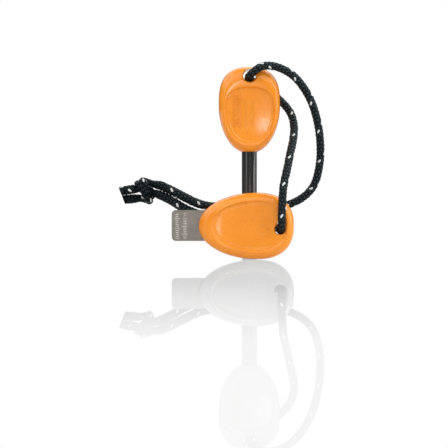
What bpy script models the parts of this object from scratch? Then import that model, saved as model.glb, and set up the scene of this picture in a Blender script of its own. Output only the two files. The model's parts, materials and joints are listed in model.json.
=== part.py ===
"""Fire starter: a ferrocerium rod in an egg-shaped grip, a striker with a steel blade, and one cord through both.

The frame is +Z up with the origin at the centre of the rod's tip, on the surface that the set stands on.
+X is to the right seen from the front, and +Y points away from the front. All sizes below are in millimetres.
"""

import math
from dataclasses import dataclass

import bmesh
import bpy
from mathutils import Matrix, Vector

MM = 0.001

# Rod
ROD_RADIUS = 3.75
ROD_LENGTH = 76.0
ROD_CHAMFER = 0.4
GLUE_PLAY = 0.1
GLUE_THICKNESS = 0.4
GLUE_END = 0.7
SOCKET_DEPTH = 24.0
ROUND_SEGMENTS = 32

# Handles: shells split at mid thickness, each with a thumb dish on its outside
WALL = 2.2
SEAM_GAP = 0.3
OUTLINE_POINTS = 44
FLANK_STEPS = 5
FLANK_POWER = 2.3
DISH_EDGE = 0.9
DISH_STEP = 0.7
DISH_DEPTH = 1.5
CAVITY_ROUNDING = 1.2
PEG_RADIUS = 1.2
PEG_LENGTH = 1.8
PEG_PLAY = 0.25
BOSS_RADIUS = 2.6

# Rod handle
ROD_HANDLE_WIDEST_Z = 77.2
ROD_HANDLE_HALF_THICKNESS = 7.5
ROD_HANDLE_MOUTH_Z = 53.3
ROD_EYE_Z = 91.0
ROD_EYE_RADIUS = 3.5
ROD_SOCKET_RADIUS = 6.2

# Striker handle, which stands on edge in front of the rod
STRIKER_WIDEST_X = 3.4
STRIKER_CENTRE_Z = 16.5
STRIKER_HALF_THICKNESS = 6.5
STRIKER_CLEARANCE = 0.4
STRIKER_Y = -(ROD_RADIUS + STRIKER_CLEARANCE + STRIKER_HALF_THICKNESS)
STRIKER_EYE_X = 15.1
STRIKER_EYE_Z = 15.0
STRIKER_EYE_RADIUS = 2.75

# Blade
BLADE_TIP_X = -38.4
BLADE_TANG_X = -4.0
BLADE_CENTRE_Z = 16.7
BLADE_HALF_WIDTH = 7.6
BLADE_THICKNESS = 1.2
BLADE_CORNER = 2.0
BLADE_PLAY = 0.15
POST_X = (-8.5, -16.5)
POST_RADIUS = 1.4
POST_PLAY = 0.3
TANG_BED_MARGIN = 1.6

# Cord
CORD_RADIUS = 1.95
CORD_SIDES = 10
CORD_SPACING = 2.4
CORD_GAP = 0.3
CORE_RADIUS = 1.05
CORE_PLAY = 0.12
CORE_LENGTH = 6.0
TAIL_PIVOT = Vector((-14.0, 7.2, 23.6))
KNOT_CENTRE = Vector((-51.3, 9.0, 33.9))
KNOT_HALF_SIZE = Vector((3.9, 4.6, 6.6))

ORANGE = (0.87, 0.30, 0.042)
ROD_GREY = (0.045, 0.047, 0.044)
STEEL_GREY = (0.27, 0.245, 0.22)
CORD_BLACK = (0.012, 0.014, 0.017)
CORE_GREY = (0.16, 0.16, 0.15)
GLUE_GREY = (0.08, 0.08, 0.075)


@dataclass
class Egg:
    """An egg outline: two half superellipses that meet at its widest line."""

    half_width: float
    blunt_length: float
    narrow_length: float
    blunt_power: float
    narrow_power: float
    shift: float = 0.0

    def point(self, angle, inset=0.0):
        """(along, across) at a polar angle about the widest point; the blunt end is at angle 0."""
        blunt = math.cos(angle) > 0
        length = (self.blunt_length if blunt else self.narrow_length) - inset
        power = self.blunt_power if blunt else self.narrow_power
        along = abs(math.cos(angle) / length) ** power
        across = abs(math.sin(angle) / (self.half_width - inset)) ** power
        radius = (along + across) ** (-1.0 / power)
        return Vector((self.shift + radius * math.cos(angle), radius * math.sin(angle)))

    def ring(self, inset=0.0):
        return [self.point(2.0 * math.pi * i / OUTLINE_POINTS, inset) for i in range(OUTLINE_POINTS)]


ROD_HANDLE_EGG = Egg(15.3, 18.3, 24.7, 2.65, 2.1)
ROD_DISH_EGG = Egg(11.9, 11.4, 16.8, 2.6, 2.2, shift=-3.2)
STRIKER_EGG = Egg(16.4, 18.4, 28.6, 2.4, 2.0)
STRIKER_DISH_EGG = Egg(12.3, 14.9, 22.2, 2.4, 2.1)


# ---------------------------------------------------------------- scene helpers


def clear_scene():
    for obj in list(bpy.data.objects):
        bpy.data.objects.remove(obj, do_unlink=True)


def material(name, colour, roughness, metallic=0.0):
    made = bpy.data.materials.new(name)
    made.use_nodes = True
    shader = made.node_tree.nodes["Principled BSDF"]
    shader.inputs["Base Color"].default_value = (*colour, 1.0)
    shader.inputs["Roughness"].default_value = roughness
    shader.inputs["Metallic"].default_value = metallic
    return made


def pivot(name, place, parent=None):
    """An empty on a joint's axis. Its place is in millimetres in the world."""
    empty = bpy.data.objects.new(name, None)
    bpy.context.scene.collection.objects.link(empty)
    empty.empty_display_size = 5.0 * MM
    empty.parent = parent
    base = parent["place"] if parent else (0.0, 0.0, 0.0)
    empty.location = (Vector(place) - Vector(base)) * MM
    empty["place"] = tuple(place)
    return empty


def add_object(name, bm, finish, parent):
    """Turns a bmesh in world millimetres into an object under a pivot."""
    bmesh.ops.recalc_face_normals(bm, faces=bm.faces)
    bm.transform(Matrix.Scale(MM, 4) @ Matrix.Translation(-Vector(parent["place"])))
    mesh = bpy.data.meshes.new(name)
    bm.to_mesh(mesh)
    bm.free()
    mesh.materials.append(finish)
    mesh.shade_smooth()
    mesh.set_sharp_from_angle(angle=math.radians(35.0))
    obj = bpy.data.objects.new(name, mesh)
    bpy.context.scene.collection.objects.link(obj)
    obj.parent = parent
    return obj


def add_cutter(name, bm, finish, parent):
    obj = add_object(name, bm, finish, parent)
    obj.hide_render = True
    obj.display_type = "WIRE"
    return obj


def boolean(obj, other, operation="DIFFERENCE"):
    step = obj.modifiers.new(other.name, "BOOLEAN")
    step.operation = operation
    step.object = other
    step.solver = "EXACT"


# ---------------------------------------------------------------- shapes


def loft(rings):
    """A closed bmesh through rings of equal length, with its first and last rings capped."""
    bm = bmesh.new()
    made = [[bm.verts.new(p) for p in ring] for ring in rings]
    for low, high in zip(made, made[1:]):
        for i in range(len(low)):
            j = (i + 1) % len(low)
            bm.faces.new((low[i], low[j], high[j], high[i]))
    bm.faces.new(made[0])
    bm.faces.new(made[-1])
    return bm


def circle(centre, radius, first, second, sides):
    turns = [2.0 * math.pi * i / sides for i in range(sides)]
    return [centre + radius * (math.cos(t) * first + math.sin(t) * second) for t in turns]


def turned(centre, axis, profile, sides=ROUND_SEGMENTS):
    """A solid of revolution. The profile is (height along the axis, radius) from one end to the other."""
    axis = Vector(axis).normalized()
    first = axis.orthogonal().normalized()
    second = axis.cross(first)
    return loft([circle(Vector(centre) + h * axis, r, first, second, sides) for h, r in profile])


def cylinder(start, end, radius, sides=ROUND_SEGMENTS):
    along = Vector(end) - Vector(start)
    return turned(start, along, [(0.0, radius), (along.length, radius)], sides)


def box(low, high):
    bm = bmesh.new()
    bmesh.ops.create_cube(bm, size=1.0)
    size = Vector(high) - Vector(low)
    middle = (Vector(high) + Vector(low)) / 2
    bm.transform(Matrix.Translation(middle) @ Matrix.Diagonal((*size, 1.0)))
    return bm


# ---------------------------------------------------------------- handle shells


@dataclass
class Handle:
    """Where a handle's outline lies: place turns (along, across, depth) into a world point."""

    name: str
    egg: Egg
    dish: Egg
    half_thickness: float
    place: object

    def level(self, flat, depth):
        return [self.place(p.x, p.y, depth) for p in flat]

    def half(self, side):
        """One solid half, from the seam over the rounded flank into the thumb dish. Side is -1 or 1."""
        outer, dish = self.egg.ring(), self.dish.ring()
        rings = []
        for k in range(FLANK_STEPS + 1):
            turn = 0.5 * math.pi * k / FLANK_STEPS
            share = 1.0 - math.cos(turn) ** (2.0 / FLANK_POWER)
            lift = math.sin(turn) ** (2.0 / FLANK_POWER)
            depth = SEAM_GAP / 2 + (self.half_thickness - SEAM_GAP / 2) * lift
            flat = [o.lerp(d, share) for o, d in zip(outer, dish)]
            rings.append(self.level(flat, side * depth))
        floor = self.half_thickness - DISH_STEP
        rings.append(self.level(self.dish.ring(DISH_EDGE), side * floor))
        inner = [Vector((self.dish.shift, 0.0)).lerp(p, 0.45) for p in dish]
        rings.append(self.level(inner, side * (self.half_thickness - DISH_DEPTH)))
        return loft(rings)

    def pocket(self, side):
        """The hollow inside one shell, open at the seam."""
        top = self.half_thickness - DISH_DEPTH - WALL + 0.4
        rings = [
            self.level(self.egg.ring(WALL), -side * WALL),
            self.level(self.egg.ring(WALL), side * (top - CAVITY_ROUNDING)),
            self.level(self.egg.ring(WALL + CAVITY_ROUNDING), side * top),
        ]
        return loft(rings)

    def column(self, along, across, radius, low, high, sides=ROUND_SEGMENTS):
        """A round post or hole through the handle's thickness, between two depths."""
        return cylinder(self.place(along, across, low), self.place(along, across, high), radius, sides)


ROD_HANDLE = Handle(
    "rod_handle",
    ROD_HANDLE_EGG,
    ROD_DISH_EGG,
    ROD_HANDLE_HALF_THICKNESS,
    lambda along, across, depth: Vector((across, depth, ROD_HANDLE_WIDEST_Z + along)),
)
STRIKER_HANDLE = Handle(
    "striker_handle",
    STRIKER_EGG,
    STRIKER_DISH_EGG,
    STRIKER_HALF_THICKNESS,
    lambda along, across, depth: Vector(
        (STRIKER_WIDEST_X + along, STRIKER_Y + depth, STRIKER_CENTRE_Z + across)
    ),
)


def eye_cutter(handle, along, across, radius, lip_depth):
    """A through hole whose lips flare, so that the cord isn't cut by an edge."""
    far = handle.half_thickness + 2.0
    flare = radius + 1.6
    profile = [(-far, flare), (-lip_depth, radius), (lip_depth, radius), (far, flare)]
    middle = handle.place(along, across, 0.0)
    axis = handle.place(along, across, 1.0) - middle
    return turned(middle, axis, profile)


def shell(handle, side, finish, parent, solids_in_pocket, cuts, pegs, peg_places):
    """One half shell. The front shell, side -1, carries the locating pegs and the rear one their sockets."""
    label = "front" if side < 0 else "rear"
    name = f"{handle.name}_{label}_shell"
    obj = add_object(name, handle.half(side), finish, parent)
    pocket = add_cutter(f"{name}_pocket", handle.pocket(side), finish, parent)
    reach = side * handle.half_thickness
    for i, bm in enumerate(solids_in_pocket()):
        boolean(pocket, add_cutter(f"{name}_solid_{i}", bm, finish, parent))
    for i, (along, across) in enumerate(peg_places):
        boss = handle.column(along, across, BOSS_RADIUS, -reach, reach, 20)
        boolean(pocket, add_cutter(f"{name}_boss_{i}", boss, finish, parent))
    boolean(obj, pocket)
    for i, bm in enumerate(cuts()):
        boolean(obj, add_cutter(f"{name}_cut_{i}", bm, finish, parent))
    for i, (along, across, radius) in enumerate(pegs):
        if side < 0:
            peg = handle.column(along, across, radius, -SEAM_GAP - 1.5, PEG_LENGTH, 16)
            boolean(obj, add_cutter(f"{name}_peg_{i}", peg, finish, parent), "UNION")
        else:
            low, high = -SEAM_GAP, PEG_LENGTH + 2 * PEG_PLAY
            hole = handle.column(along, across, radius + PEG_PLAY, low, high, 16)
            boolean(obj, add_cutter(f"{name}_socket_{i}", hole, finish, parent))
    return obj


def rod_handle_shells(finish, parent):
    eye_along = ROD_EYE_Z - ROD_HANDLE_WIDEST_Z
    socket_end = ROD_HANDLE_MOUTH_Z + SOCKET_DEPTH
    bore = ROD_RADIUS + GLUE_PLAY + GLUE_THICKNESS + GLUE_PLAY
    peg_places = [(2.0, -9.4), (2.0, 9.4)]

    def solids_in_pocket():
        far = ROD_HANDLE_HALF_THICKNESS
        yield cylinder((0, 0, ROD_HANDLE_MOUTH_Z - 4), (0, 0, socket_end + 1.6), ROD_SOCKET_RADIUS)
        yield ROD_HANDLE.column(eye_along, 0.0, ROD_EYE_RADIUS + 1.8, -far, far)

    def cuts():
        yield cylinder((0, 0, ROD_HANDLE_MOUTH_Z - 4), (0, 0, socket_end), bore)
        yield eye_cutter(ROD_HANDLE, eye_along, 0.0, ROD_EYE_RADIUS, 5.2)
        yield box((-20, -20, ROD_HANDLE_MOUTH_Z - 10), (20, 20, ROD_HANDLE_MOUTH_Z))

    pegs = [(along, across, PEG_RADIUS) for along, across in peg_places]
    for side in (-1, 1):
        shell(ROD_HANDLE, side, finish, parent, solids_in_pocket, cuts, pegs, peg_places)


def striker_handle_shells(finish, parent):
    eye_along = STRIKER_EYE_X - STRIKER_WIDEST_X
    eye_across = STRIKER_EYE_Z - STRIKER_CENTRE_Z
    blade_across = BLADE_CENTRE_Z - STRIKER_CENTRE_Z
    bed_half = BLADE_HALF_WIDTH + TANG_BED_MARGIN
    peg_places = [(4.5, 9.6), (4.5, -9.6)]
    posts = [(x - STRIKER_WIDEST_X, blade_across, POST_RADIUS) for x in POST_X]

    def solids_in_pocket():
        far = STRIKER_HALF_THICKNESS
        yield box(
            (BLADE_TIP_X, STRIKER_Y - far, BLADE_CENTRE_Z - bed_half),
            (BLADE_TANG_X + 2.0, STRIKER_Y + far, BLADE_CENTRE_Z + bed_half),
        )
        yield STRIKER_HANDLE.column(eye_along, eye_across, STRIKER_EYE_RADIUS + 1.8, -far, far)

    def cuts():
        half_slot = BLADE_THICKNESS / 2 + BLADE_PLAY
        half_width = BLADE_HALF_WIDTH + BLADE_PLAY
        yield box(
            (BLADE_TIP_X, STRIKER_Y - half_slot, BLADE_CENTRE_Z - half_width),
            (BLADE_TANG_X + 2 * BLADE_PLAY, STRIKER_Y + half_slot, BLADE_CENTRE_Z + half_width),
        )
        yield eye_cutter(STRIKER_HANDLE, eye_along, eye_across, STRIKER_EYE_RADIUS, 3.6)

    pegs = posts + [(along, across, PEG_RADIUS) for along, across in peg_places]
    for side in (-1, 1):
        shell(STRIKER_HANDLE, side, finish, parent, solids_in_pocket, cuts, pegs, peg_places)


# ---------------------------------------------------------------- rod, glue and blade


def ferro_rod(finish, parent):
    thin = ROD_RADIUS - ROD_CHAMFER
    profile = [
        (0.0, thin),
        (ROD_CHAMFER, ROD_RADIUS),
        (ROD_LENGTH - ROD_CHAMFER, ROD_RADIUS),
        (ROD_LENGTH, thin),
    ]
    add_object("ferro_rod", turned((0, 0, 0), (0, 0, 1), profile), finish, parent)


def rod_adhesive(finish, parent):
    """The cured glue in the socket: a cup round the rod's upper end."""
    inside = ROD_RADIUS + GLUE_PLAY
    outside = inside + GLUE_THICKNESS
    start = ROD_HANDLE_MOUTH_Z + 0.6
    end = ROD_LENGTH + GLUE_PLAY + GLUE_END
    cup = cylinder((0, 0, start), (0, 0, end), outside)
    room = cylinder((0, 0, start - 5), (0, 0, ROD_LENGTH + GLUE_PLAY), inside)
    obj = add_object("rod_adhesive", cup, finish, parent)
    boolean(obj, add_cutter("rod_adhesive_room", room, finish, parent))


def rounded_tip_outline():
    """The blade's outline in X and Z: two rounded corners at the tip, square at the tang."""
    points = []
    steps = 6
    for corner, start in ((1, 90.0), (-1, 180.0)):
        centre_x = BLADE_TIP_X + BLADE_CORNER
        centre_z = BLADE_CENTRE_Z + corner * (BLADE_HALF_WIDTH - BLADE_CORNER)
        for i in range(steps + 1):
            turn = math.radians(start + 90.0 * i / steps)
            points.append((centre_x + BLADE_CORNER * math.cos(turn), centre_z + BLADE_CORNER * math.sin(turn)))
    points.append((BLADE_TANG_X, BLADE_CENTRE_Z - BLADE_HALF_WIDTH))
    points.append((BLADE_TANG_X, BLADE_CENTRE_Z + BLADE_HALF_WIDTH))
    return points


def striker_blade(finish, parent):
    half = BLADE_THICKNESS / 2
    outline = rounded_tip_outline()
    rings = [[Vector((x, STRIKER_Y + y, z)) for x, z in outline] for y in (-half, half)]
    obj = add_object("striker_blade", loft(rings), finish, parent)
    for i, x in enumerate(POST_X):
        start = (x, STRIKER_Y - 2, BLADE_CENTRE_Z)
        hole = cylinder(start, (x, STRIKER_Y + 2, BLADE_CENTRE_Z), POST_RADIUS + POST_PLAY, 20)
        boolean(obj, add_cutter(f"striker_blade_hole_{i}", hole, finish, parent))


# ---------------------------------------------------------------- cord

# The cord's centre line, from the end above the knot, up and through the rod handle's eye, down through the
# striker's eye, and back to the end below the knot. Each section runs to the start of the next one.
CORD_PATH = [
    ("cord_end_upper", [(-64.9, 9.0, 33.8), (-60.0, 9.0, 34.7)]),
    (None, [(-55.5, 9.0, 35.4), (-51.0, 9.0, 36.8)]),
    ("cord_tail_upper", [(-47.2, 9.0, 37.5), (-40.0, 8.6, 34.3), (-33.0, 8.0, 30.6), (-24.0, 7.4, 26.9)]),
    ("cord_outer_crossing", [(-14.0, 7.2, 25.8), (0.0, 7.2, 25.0), (12.0, 7.0, 24.9)]),
    (
        "cord_outer_run",
        [
            (25.2, 6.6, 29.3),
            (32.3, 6.2, 36.0),
            (35.3, 5.0, 46.4),
            (35.7, 3.0, 56.6),
            (33.8, 0.8, 69.6),
            (29.3, -2.0, 81.4),
            (21.5, -4.6, 91.1),
        ],
    ),
    (
        "cord_bight",
        [
            (12.4, -6.6, 95.4),
            (6.4, -8.5, 95.0),
            (3.2, -9.3, 92.6),
            (0.9, -7.4, 90.6),
            (0.4, -3.6, 90.1),
            (0.2, 3.6, 90.1),
            (0.6, 7.6, 90.0),
            (3.0, 9.8, 88.8),
        ],
    ),
    (
        "cord_inner_run",
        [
            (8.2, 10.2, 85.6),
            (16.1, 9.9, 79.3),
            (20.9, 8.2, 73.2),
            (22.5, 3.6, 66.0),
            (21.7, -3.0, 59.0),
            (20.0, -9.4, 52.0),
            (18.3, -15.0, 43.6),
            (16.4, -18.9, 35.0),
        ],
    ),
    (
        "cord_eye_pass",
        [
            (15.7, -19.5, 27.5),
            (15.4, -19.4, 21.4),
            (15.2, -17.9, 16.9),
            (15.1, -14.2, 14.9),
            (15.1, -7.0, 14.9),
            (14.6, -1.4, 15.1),
            (12.0, 4.0, 15.7),
            (6.5, 7.0, 16.8),
            (-4.0, 7.2, 18.9),
        ],
    ),
    ("cord_tail_lower", [(-14.0, 7.2, 20.6), (-24.0, 7.4, 21.7), (-33.0, 7.9, 24.9), (-41.0, 8.5, 29.9)]),
    (None, [(-47.2, 9.0, 33.0), (-51.0, 9.0, 32.2)]),
    ("cord_end_lower", [(-55.5, 9.0, 31.2), (-62.6, 9.0, 29.5)]),
]


def between(a, b, start, end, t):
    return a.lerp(b, (t - start) / (end - start))


def smooth_span(before, start, end, after, share):
    """A point between start and end on a centripetal Catmull-Rom curve."""
    t0 = 0.0
    t1 = t0 + math.sqrt((start - before).length)
    t2 = t1 + math.sqrt((end - start).length)
    t3 = t2 + math.sqrt((after - end).length)
    t = t1 + share * (t2 - t1)
    a = between(before, start, t0, t1, t)
    b = between(start, end, t1, t2, t)
    c = between(end, after, t2, t3, t)
    return between(between(a, b, t0, t2, t), between(b, c, t1, t3, t), t1, t2, t)


def smooth_curve(points, steps=12):
    """A dense curve through points, and the index in it of each point."""
    ends = [2 * points[0] - points[1], *points, 2 * points[-1] - points[-2]]
    curve = []
    for i in range(1, len(ends) - 2):
        curve += [smooth_span(*ends[i - 1 : i + 3], k / steps) for k in range(steps)]
    return curve + [points[-1]], [i * steps for i in range(len(points))]


def curve_length(curve):
    return sum((b - a).length for a, b in zip(curve, curve[1:]))


def shortened(curve, cut):
    """The curve without this length at its start."""
    curve = list(curve)
    while (curve[1] - curve[0]).length <= cut:
        cut -= (curve[1] - curve[0]).length
        curve.pop(0)
    share = cut / (curve[1] - curve[0]).length
    curve[0] = curve[0].lerp(curve[1], share)
    return curve


def trimmed(curve, start_cut, end_cut):
    return shortened(shortened(curve, start_cut)[::-1], end_cut)[::-1]


def evenly(curve, spacing):
    """(point, direction) at equal steps of about this length along the curve."""
    lengths = [0.0]
    for a, b in zip(curve, curve[1:]):
        lengths.append(lengths[-1] + (b - a).length)
    count = max(2, round(lengths[-1] / spacing))
    even, at = [], 0
    for k in range(count + 1):
        want = lengths[-1] * k / count
        while at < len(curve) - 2 and lengths[at + 1] < want:
            at += 1
        step = max(lengths[at + 1] - lengths[at], 1e-9)
        point = curve[at].lerp(curve[at + 1], min(1.0, (want - lengths[at]) / step))
        even.append((point, (curve[at + 1] - curve[at]).normalized()))
    return even


def swept(line, radius, sides=CORD_SIDES):
    """A round tube without twist along a list of (point, direction)."""
    rings, first = [], line[0][1].orthogonal()
    for point, along in line:
        first = (first - along * first.dot(along)).normalized()
        rings.append(circle(point, radius, first, along.cross(first), sides))
    return loft(rings)


def cord_sections():
    """The dense centre line of each named section, with a gap left at both ends."""
    points = [Vector(p) for _, section in CORD_PATH for p in section]
    curve, places = smooth_curve(points)
    sections, start = {}, 0
    for name, section in CORD_PATH:
        end = min(start + len(section), len(points) - 1)
        if name:
            sections[name] = trimmed(curve[places[start] : places[end] + 1], CORD_GAP / 2, CORD_GAP / 2)
        start += len(section)
    return sections


def cord_pieces(finish, core_finish, parents):
    for name, curve in cord_sections().items():
        obj = add_object(name, swept(evenly(curve, CORD_SPACING), CORD_RADIUS), finish, parents[name])
        if name.startswith("cord_end"):
            cord_core(name, curve if name.endswith("upper") else curve[::-1], obj, core_finish)


def cord_core(name, tip_first, sheath, finish):
    """The white core that shows at a cut end, in a short bore of its own."""
    parent = sheath.parent
    beyond = 2 * tip_first[0] - tip_first[1]
    room_line = trimmed([beyond] + tip_first, 0.0, curve_length(tip_first) - CORE_LENGTH - CORE_PLAY)
    core_line = trimmed(tip_first, 0.0, curve_length(tip_first) - CORE_LENGTH)
    room = swept(evenly(room_line, CORD_SPACING), CORE_RADIUS + CORE_PLAY)
    boolean(sheath, add_cutter(f"{name}_room", room, finish, parent))
    core = swept(evenly(core_line, CORD_SPACING), CORE_RADIUS)
    add_object(name.replace("end", "core"), core, finish, parent)


def cord_knot(finish, parent):
    """The overhand knot that closes the loop, as one plain body."""
    bm = bmesh.new()
    bmesh.ops.create_uvsphere(bm, u_segments=20, v_segments=12, radius=1.0)
    bm.transform(Matrix.Translation(KNOT_CENTRE) @ Matrix.Diagonal((*KNOT_HALF_SIZE, 1.0)))
    add_object("cord_knot", bm, finish, parent)


def build():
    clear_scene()
    orange = material("orange_plastic", ORANGE, 0.32)
    rod = material("ferrocerium", ROD_GREY, 0.38, 0.6)
    steel = material("blade_steel", STEEL_GREY, 0.4, 1.0)
    cord = material("black_cord", CORD_BLACK, 0.7)
    core = material("cord_core", CORE_GREY, 0.85)
    glue = material("cured_glue", GLUE_GREY, 0.5)

    rod_unit = pivot("rod_unit", (0, 0, 0))
    cord_loop = pivot("cord_loop", (0, 0, ROD_EYE_Z), rod_unit)
    cord_lower = pivot("cord_lower", (STRIKER_EYE_X, 0, STRIKER_EYE_Z), cord_loop)
    striker = pivot("striker_unit", (STRIKER_EYE_X, STRIKER_Y, STRIKER_EYE_Z), cord_lower)
    tail = pivot("cord_tail", TAIL_PIVOT, cord_lower)

    rod_handle_shells(orange, rod_unit)
    ferro_rod(rod, rod_unit)
    rod_adhesive(glue, rod_unit)
    striker_handle_shells(orange, striker)
    striker_blade(steel, striker)
    parents = {
        "cord_bight": cord_loop,
        "cord_outer_run": cord_loop,
        "cord_inner_run": cord_loop,
        "cord_outer_crossing": cord_lower,
        "cord_eye_pass": cord_lower,
        "cord_tail_upper": tail,
        "cord_tail_lower": tail,
        "cord_end_upper": tail,
        "cord_end_lower": tail,
    }
    cord_pieces(cord, core, parents)
    cord_knot(cord, tail)


build()
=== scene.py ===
"""Looks of a fire starter: a dark rod and a steel blade in glossy orange grips, joined by a braided cord.

Sizes and places are in millimetres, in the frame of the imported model. The meshes are in metres.
"""

import json
import math
from dataclasses import dataclass

import bpy
import numpy as np
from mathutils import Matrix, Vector

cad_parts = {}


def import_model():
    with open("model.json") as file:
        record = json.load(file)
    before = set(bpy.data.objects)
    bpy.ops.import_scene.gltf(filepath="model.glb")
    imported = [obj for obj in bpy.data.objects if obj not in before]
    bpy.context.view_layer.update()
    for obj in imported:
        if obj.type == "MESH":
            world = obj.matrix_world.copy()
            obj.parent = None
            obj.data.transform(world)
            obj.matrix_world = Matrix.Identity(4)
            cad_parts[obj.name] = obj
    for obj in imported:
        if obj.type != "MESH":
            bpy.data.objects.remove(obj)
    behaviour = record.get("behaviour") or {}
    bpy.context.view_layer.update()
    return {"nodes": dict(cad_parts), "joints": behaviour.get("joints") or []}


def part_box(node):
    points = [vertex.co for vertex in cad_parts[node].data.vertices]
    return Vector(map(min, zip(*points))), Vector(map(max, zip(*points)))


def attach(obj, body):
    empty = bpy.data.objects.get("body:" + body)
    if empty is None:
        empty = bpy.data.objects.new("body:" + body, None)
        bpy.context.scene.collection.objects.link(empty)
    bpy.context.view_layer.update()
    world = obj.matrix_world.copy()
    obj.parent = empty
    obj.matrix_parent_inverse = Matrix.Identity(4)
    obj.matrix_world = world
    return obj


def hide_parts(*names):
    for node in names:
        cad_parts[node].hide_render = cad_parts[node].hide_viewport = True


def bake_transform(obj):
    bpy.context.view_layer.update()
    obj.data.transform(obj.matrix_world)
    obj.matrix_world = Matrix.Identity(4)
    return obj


MM = 0.001

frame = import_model()

# Grips: the seam between the halves, and the flank, rim and dish of each half
SEAM_GAP = 0.3
SEAM_ROUND = 0.18
ANGLES = 160
FLANK_WIDTHS = (4.8, 7.6)
FLANK_FROM = 3.0
FLANK_OVER = 6.0
FLANK_POWER = 2.35
FLANK_RINGS = 16
RIM_RINGS = 6
FLOOR_RINGS = 12
DISH_WALL = 0.9
GROOVE_AT = 1.9
GROOVE_WIDTH = 0.2
# How far in from the dish's edge its rings stand: close together down the wall and across the groove.
DISH_INSETS = (0.1, 0.2, 0.32, 0.45, 0.58, 0.7, 0.8, 0.95, 1.2, 1.5, 1.65, 1.78, 1.9, 2.02, 2.15, 2.3, 2.6)

# Eyes, socket and slot
EYE_LIP = 0.7
EYE_STEPS = 8
ROD_EYE_RADIUS = 3.25
STRIKER_EYE_RADIUS = 2.6
STRIKER_EYE_SHIFT = -0.3
SOCKET_DEPTH = 24.5
SOCKET_CLEARANCE = 0.6
SLOT_CLEARANCE = 0.12

# Relief on the floor of the dishes
RIB_WIDTH = 0.8
RIB_HEIGHT = 0.09
RIB_SIDES = 10
PIP_PITCH = 0.7
PIP_RADIUS = 0.26
PIP_HEIGHT = 0.2
PIP_SIDES = 8
# Share of the radius and of the height at a pip's foot, shoulder and top
PIP_PROFILE = ((1.0, -0.5), (0.8, 0.6), (0.4, 1.0))

# Rod and blade
ROD_EDGE = 0.45
BLADE_EDGE = 0.1
BLADE_CORNER = 2.0
SCALE_MIDDLE = 16.6
SCALE_HALF_HEIGHT = 6.4

# Cord
LOOP_RADIUS = 1.93
TAIL_RADIUS = 2.22
KNOT_RADIUS = 1.82
BRAID_PITCH = 15.0
BRAID_YARNS = 8
BRAID_RELIEF = 0.42
BRAID_MEAN = 0.6
CORD_SIDES = 38
CORD_STEP = 0.32

# The plane that cuts both tails off. Near the cord's ends, only rings CUT_MARGIN clear of it are kept.
CUT_POINT = np.array([-64.4, 9.0, 31.75])
CUT_NORMAL = np.array([0.938, 0.0, 0.348])
CUT_MARGIN = 0.15
CUT_REACH = 60
CORE_YARN_RADIUS = 0.42
CORE_RING_RADIUS = 0.78

# Knot, and the neck where its upper strand lifts as it leaves towards the grip
KNOT_MIDDLE = np.array([-51.8, 9.0, 34.0])
KNOT_START = np.array([-52.3, 9.0, 35.5])
KNOT_CONTACT = 1.35
KNOT_LENGTH = 46.0
KNOT_POINTS = 100
KNOT_STEPS = 450
KNOT_FLATNESS = 0.88
NECK_X = -44.5
NECK_LIFT = 0.4
NECK_LENGTH = 2.5

# Studio
ROOM_LIGHT = 0.2
BEHIND_SHARE = 0.3
FLOOR_FILL = 0.95
FLOOR_SHINE = 0.6
# Between the first two values, places along Y, the mirror's share grows from the third to the fourth.
MIRROR_FADE = (-430.0, -200.0, 0.1, 0.5)
FLOOR_REACH = 6000.0
FLOOR_TOP = -0.05
SOFTBOX_GLOW = 10.0
# Azimuth from the camera, elevation, half width, half height, soft edge and strength of each glowing panel
PANELS = (
    (86.0, 12.0, 20.0, 40.0, 10.0, 2.3),
    (-47.0, 10.0, 5.0, 35.0, 7.0, 1.4),
    (0.0, 46.0, 180.0, 13.0, 14.0, 1.6),
)


# ---------------------------- meshes


def mesh_object(name, points, faces, material, uvs=None):
    """A mesh from points in millimetres. uvs holds one (u, v) for each corner of each face."""
    mesh = bpy.data.meshes.new(name)
    mesh.from_pydata((np.asarray(points, float) * MM).tolist(), [], faces)
    if uvs is not None:
        layer = mesh.uv_layers.new(name="braid")
        layer.data.foreach_set("uv", np.asarray(uvs, np.float32).ravel())
    mesh.materials.append(material)
    mesh.validate()
    obj = bpy.data.objects.new(name, mesh)
    bpy.context.scene.collection.objects.link(obj)
    return obj


def smooth(obj, angle):
    """Smooth shading, with sharp edges where faces meet at more than the angle."""
    obj.data.shade_smooth()
    obj.data.set_sharp_from_angle(angle=math.radians(angle))
    return obj


def loft_faces(rings, sides):
    """Quads between successive closed rings of points."""
    faces = []
    for k in range(rings - 1):
        for i in range(sides):
            j = (i + 1) % sides
            faces.append((k * sides + i, k * sides + j, (k + 1) * sides + j, (k + 1) * sides + i))
    return faces


def loft(name, rings, material, flip=False, uvs=None):
    """A closed solid through rings of equal length, with flat ends."""
    sides = len(rings[0])
    faces = loft_faces(len(rings), sides)
    faces.append(tuple(range(sides))[::-1])
    faces.append(tuple(range((len(rings) - 1) * sides, len(rings) * sides)))
    if flip:
        faces = [f[::-1] for f in faces]
    return mesh_object(name, np.concatenate(rings), faces, material, uvs)


def even_turns(count):
    """This many angles, evenly spread over one full turn."""
    return np.arange(count) * math.tau / count


def circle(centre, radius, first, second, sides):
    """Points of a circle in the plane of two unit vectors."""
    turn = even_turns(sides)
    return centre + radius * (np.outer(np.cos(turn), first) + np.outer(np.sin(turn), second))


def turned(name, centre, axis, profile, material, sides=96):
    """A solid of revolution from (height, radius) pairs, lowest first."""
    axis = np.array(axis, float)
    first = np.array(Vector(axis).orthogonal().normalized())
    second = np.cross(axis, first)
    rings = [circle(np.array(centre) + h * axis, r, first, second, sides) for h, r in profile]
    return loft(name, rings, material)


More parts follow.
